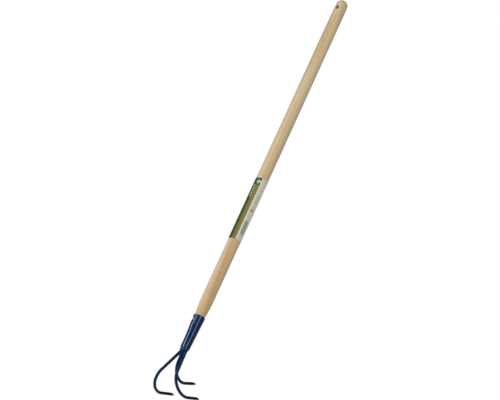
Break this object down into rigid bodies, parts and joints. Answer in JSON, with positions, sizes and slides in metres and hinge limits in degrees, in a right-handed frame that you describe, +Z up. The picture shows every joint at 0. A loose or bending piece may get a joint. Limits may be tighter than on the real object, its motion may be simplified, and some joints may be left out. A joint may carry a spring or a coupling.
{
  "type": "garden cultivator",
  "caption": "Garden hand cultivator: a turned wooden handle with a hanging hole, in a conical steel socket that holds hooked round-bar tines.",
  "frame": {"origin": "middle of the hanging hole, on the handle's axis", "axes": "+Z up along the handle towards its domed end; the tines are at -Z, their points are towards -Y, and they spread along X"},
  "size_m": [0.0832, 0.0924, 1.0102],
  "materials": {
    "turned_wood": "sanded and clear lacquered, satin",
    "label_film": "printed film, satin",
    "blue_paint": "dark navy gloss paint over steel",
    "screw_steel": "zinc plated, dull"
  },
  "bodies": {
    "root": {"handle": "turned_wood", "label": "label_film", "socket": "blue_paint", "weld": "blue_paint", "tine_left": "blue_paint", "tine_middle": "blue_paint", "tine_right": "blue_paint", "screw": "screw_steel"}
  },
  "joints": []
}
